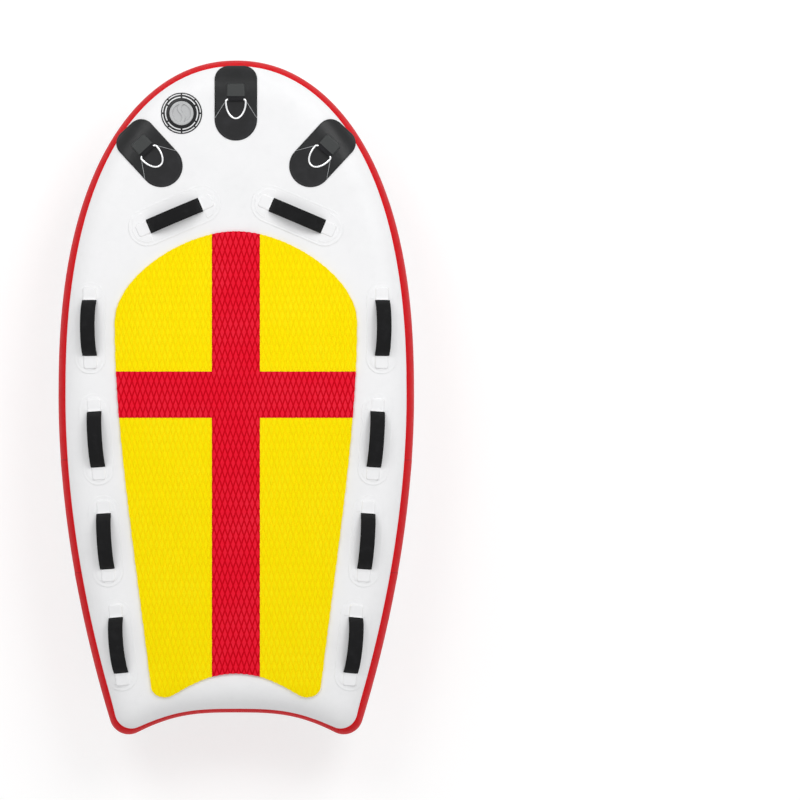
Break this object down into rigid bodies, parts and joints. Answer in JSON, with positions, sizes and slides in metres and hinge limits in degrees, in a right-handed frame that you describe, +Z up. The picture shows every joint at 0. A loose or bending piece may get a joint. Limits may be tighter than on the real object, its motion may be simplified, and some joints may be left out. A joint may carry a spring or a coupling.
{
  "type": "lifeguard rescue board",
  "caption": "Inflatable lifeguard rescue board with a red rail, a cross-patterned deck pad, padded carrying handles, tow rings at the nose, an air valve and side fins.",
  "frame": {"origin": "under the middle of the board's outline, at the height of the fins' tips", "axes": "+X to the right seen from above, +Y towards the nose, +Z up out of the deck"},
  "size_m": [1.002, 1.9, 0.3298],
  "materials": {
    "chamber_fabric": "matte",
    "white_pvc": "satin",
    "red_pvc": "satin",
    "yellow_foam": "matte",
    "red_foam": "matte",
    "black_pvc": "satin",
    "webbing": "matte",
    "neoprene": "matte",
    "steel": "polished",
    "valve_black": "satin",
    "valve_grey": "satin",
    "fin_black": "satin"
  },
  "bodies": {
    "board": {"air_chamber": "chamber_fabric", "deck_skin": "white_pvc", "bottom_skin": "white_pvc", "rail_band": "red_pvc", "pad_cross": "red_foam", "pad_front_left": "yellow_foam", "pad_rear_left": "yellow_foam", "pad_front_right": "yellow_foam", "pad_rear_right": "yellow_foam", "handle_left_1_patch": "white_pvc", "handle_left_1_strap": "webbing", "handle_left_1_sleeve": "neoprene", "handle_left_2_patch": "white_pvc", "handle_left_2_strap": "webbing", "handle_left_2_sleeve": "neoprene", "handle_left_3_patch": "white_pvc", "handle_left_3_strap": "webbing", "handle_left_3_sleeve": "neoprene", "handle_left_4_patch": "white_pvc", "handle_left_4_strap": "webbing", "handle_left_4_sleeve": "neoprene", "handle_left_5_patch": "white_pvc", "handle_left_5_strap": "webbing", "handle_left_5_sleeve": "neoprene", "handle_right_1_patch": "white_pvc", "handle_right_1_strap": "webbing", "handle_right_1_sleeve": "neoprene", "handle_right_2_patch": "white_pvc", "handle_right_2_strap": "webbing", "handle_right_2_sleeve": "neoprene", "handle_right_3_patch": "white_pvc", "handle_right_3_strap": "webbing", "handle_right_3_sleeve": "neoprene", "handle_right_4_patch": "white_pvc", "handle_right_4_strap": "webbing", "handle_right_4_sleeve": "neoprene", "handle_right_5_patch": "white_pvc", "handle_right_5_strap": "webbing", "handle_right_5_sleeve": "neoprene", "tow_centre_patch": "black_pvc", "tow_centre_cover": "black_pvc", "tow_centre_strap": "webbing", "tow_left_patch": "black_pvc", "tow_left_cover": "black_pvc", "tow_left_strap": "webbing", "tow_right_patch": "black_pvc", "tow_right_cover": "black_pvc", "tow_right_strap": "webbing", "valve_patch": "black_pvc", "valve_body": "valve_black", "valve_spring": "steel", "fin_box_left": "black_pvc", "fin_box_right": "black_pvc"},
    "tow_centre_ring": {"tow_centre_ring": "steel"},
    "tow_left_ring": {"tow_left_ring": "steel"},
    "tow_right_ring": {"tow_right_ring": "steel"},
    "valve_cap": {"valve_cap": "valve_grey"},
    "valve_poppet": {"valve_poppet": "valve_grey"},
    "fin_left": {"fin_left": "fin_black"},
    "fin_right": {"fin_right": "fin_black"}
  },
  "joints": [
    {"name": "tow_centre_ring_hinge", "type": "hinge", "parent": "board", "child": "tow_centre_ring", "pos_m": [0, 0.83886, 0.30857], "axis": [-1, 0, 0], "range_deg": [0, 155]},
    {"name": "tow_left_ring_hinge", "type": "hinge", "parent": "board", "child": "tow_left_ring", "pos_m": [-0.24801, 0.69323, 0.30386], "axis": [-0.7357, -0.677, -0.0188], "range_deg": [0, 155]},
    {"name": "tow_right_ring_hinge", "type": "hinge", "parent": "board", "child": "tow_right_ring", "pos_m": [0.24801, 0.69323, 0.30386], "axis": [-0.7357, 0.677, 0.0184], "range_deg": [0, 155]},
    {"name": "valve_cap_turn", "type": "hinge", "parent": "board", "child": "valve_cap", "pos_m": [-0.1528, 0.8, 0.29969], "axis": [0, 0, 1], "range_deg": [0, 90]},
    {"name": "valve_poppet_press", "type": "slide", "parent": "board", "child": "valve_poppet", "axis": [0, 0, -1], "range_m": [0, 0.005], "stiffness_N_per_m": 1500, "springref_m": -0.002, "deforming": ["valve_spring"]},
    {"name": "fin_left_slide", "type": "slide", "parent": "board", "child": "fin_left", "axis": [0, -1, 0], "range_m": [0, 0.14]},
    {"name": "fin_right_slide", "type": "slide", "parent": "board", "child": "fin_right", "axis": [0, -1, 0], "range_m": [0, 0.14]}
  ]
}
